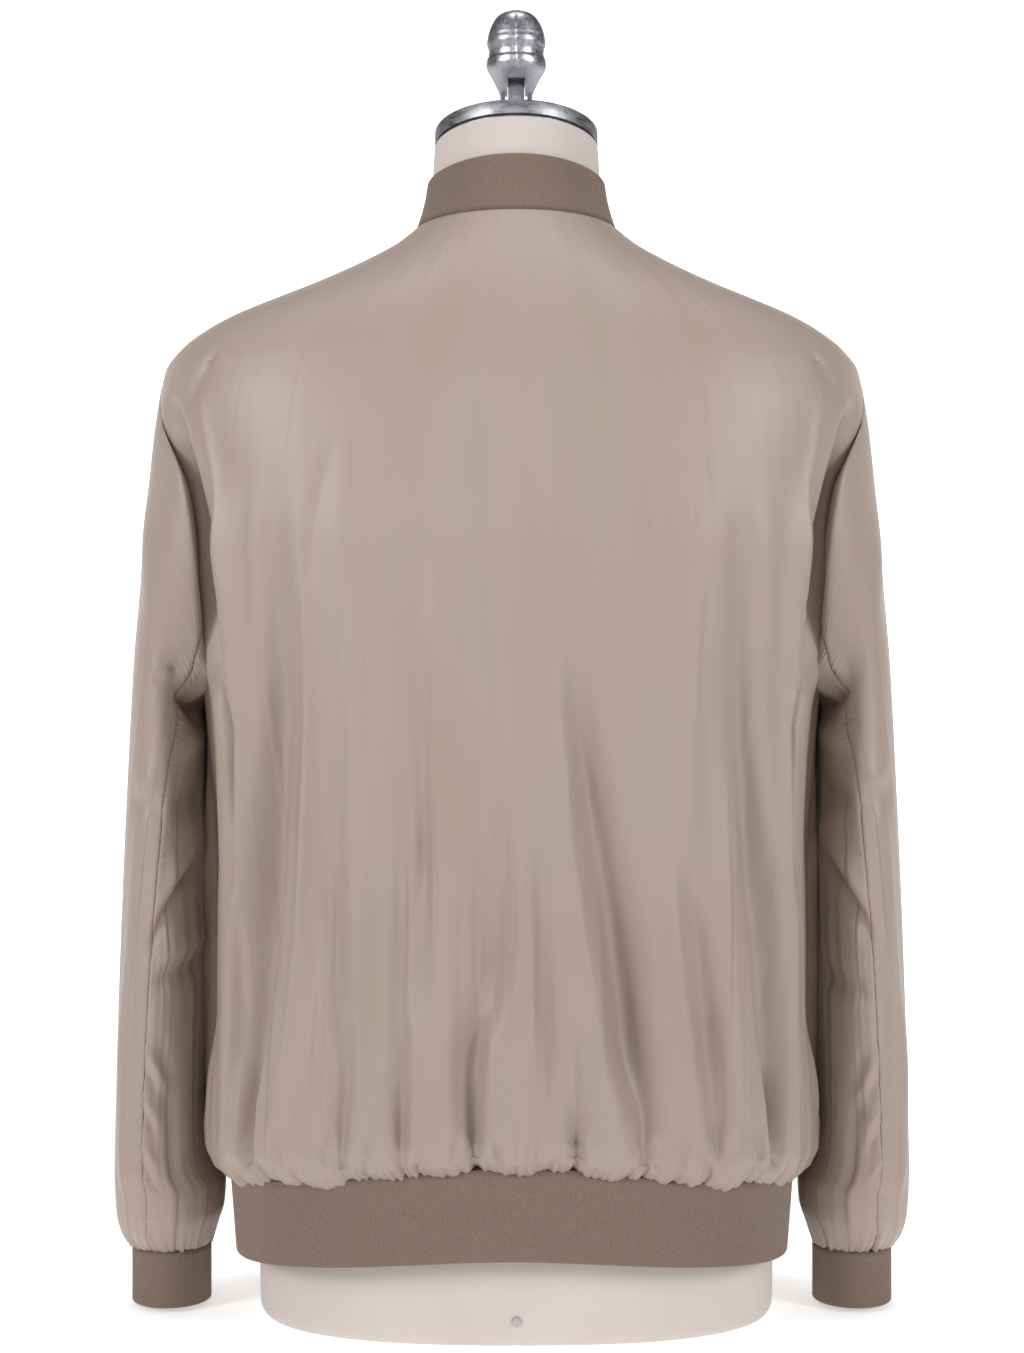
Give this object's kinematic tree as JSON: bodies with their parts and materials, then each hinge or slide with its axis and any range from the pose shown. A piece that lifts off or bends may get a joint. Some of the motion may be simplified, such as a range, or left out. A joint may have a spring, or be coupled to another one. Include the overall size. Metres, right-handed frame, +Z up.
{
  "type": "bomber jacket on dress form",
  "caption": "Zipped satin bomber jacket with ribbed stand collar, cuffs and hem band, worn by a limbless linen dress form with a metal neck cap and knob.",
  "frame": {"origin": "centre of the dress form's flat base", "axes": "+Z up; +Y the way a wearer would face, so the zip is on +Y and the jacket's back on -Y; the wearer's left is -X"},
  "size_m": [0.5384, 0.2858, 0.8765],
  "materials": {
    "satin": "soft sheen",
    "rib": "ribbed knit",
    "linen": "plain weave",
    "cast_metal": "rough polished casting",
    "zip_tape": "woven",
    "zip_metal": "polished"
  },
  "bodies": {
    "jacket_and_form": {"back": "satin", "front_left": "satin", "front_right": "satin", "sleeve_left_top": "satin", "sleeve_left_under": "satin", "sleeve_right_top": "satin", "sleeve_right_under": "satin", "collar_rib": "rib", "hem_rib": "rib", "cuff_left": "rib", "cuff_right": "rib", "zip_tape_left": "zip_tape", "zip_tape_right": "zip_tape", "zip_chain": "zip_metal", "zip_slider": "zip_metal", "form_torso": "linen", "neck_cap": "cast_metal", "knob": "cast_metal", "base_tack": "cast_metal"},
    "pull": {"zip_pull": "zip_metal"}
  },
  "joints": [
    {"name": "zip_pull_swing", "type": "hinge", "parent": "jacket_and_form", "child": "pull", "pos_m": [-0.00032, 0.07852, 0.68224], "axis": [1, 0, 0], "range_deg": [0, 150]}
  ]
}
